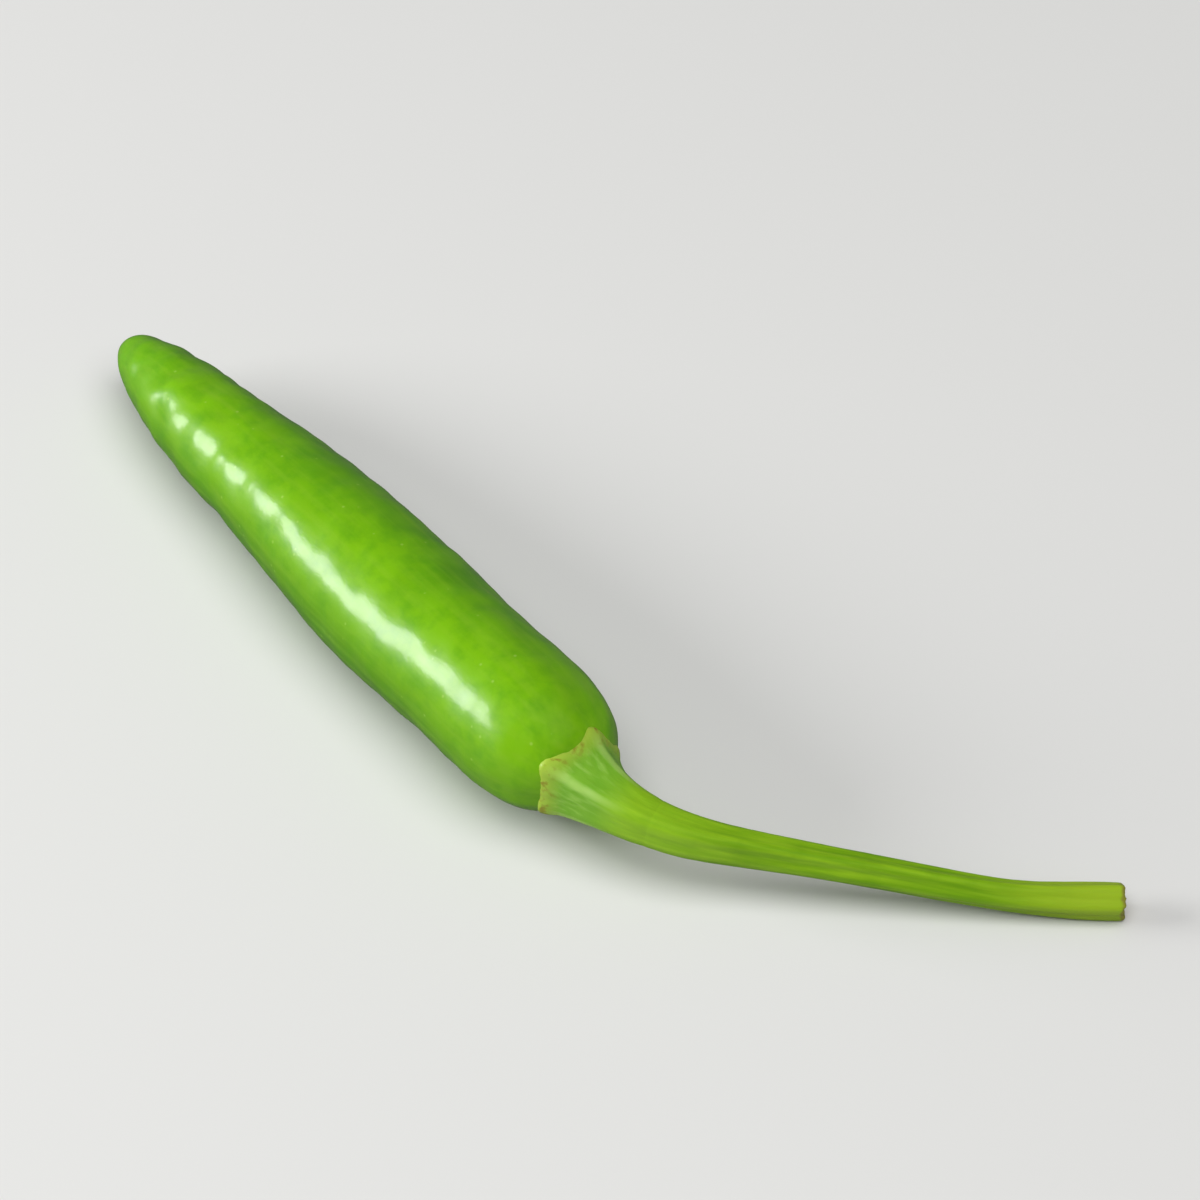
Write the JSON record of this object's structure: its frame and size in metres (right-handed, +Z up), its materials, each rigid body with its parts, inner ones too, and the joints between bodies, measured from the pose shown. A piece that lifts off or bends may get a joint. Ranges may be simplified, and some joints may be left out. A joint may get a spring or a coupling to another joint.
{
  "type": "chilli pepper",
  "caption": "Fresh green chilli pepper lying on its side: a long tapering glossy pod, a small cup-shaped calyx and a long bent stem with a swollen cut end.",
  "frame": {"origin": "middle of the bounding box in plan, on the surface that the chilli lies on", "axes": "+Z up, +X along the chilli's length from the tip of the pod towards the cut end of the stem, +Y towards the side that the stem bends to"},
  "size_m": [0.1012, 0.0244, 0.0123],
  "materials": {
    "pod_skin": "waxy, glossy fresh pepper skin, lime green to mid green",
    "calyx_green": "satin, pale green, faintly ribbed plant tissue",
    "stem_green": "satin, yellow-green, finely ridged plant stalk"
  },
  "bodies": {
    "root": {"pod": "pod_skin", "calyx": "calyx_green", "stem": "stem_green"}
  },
  "joints": []
}
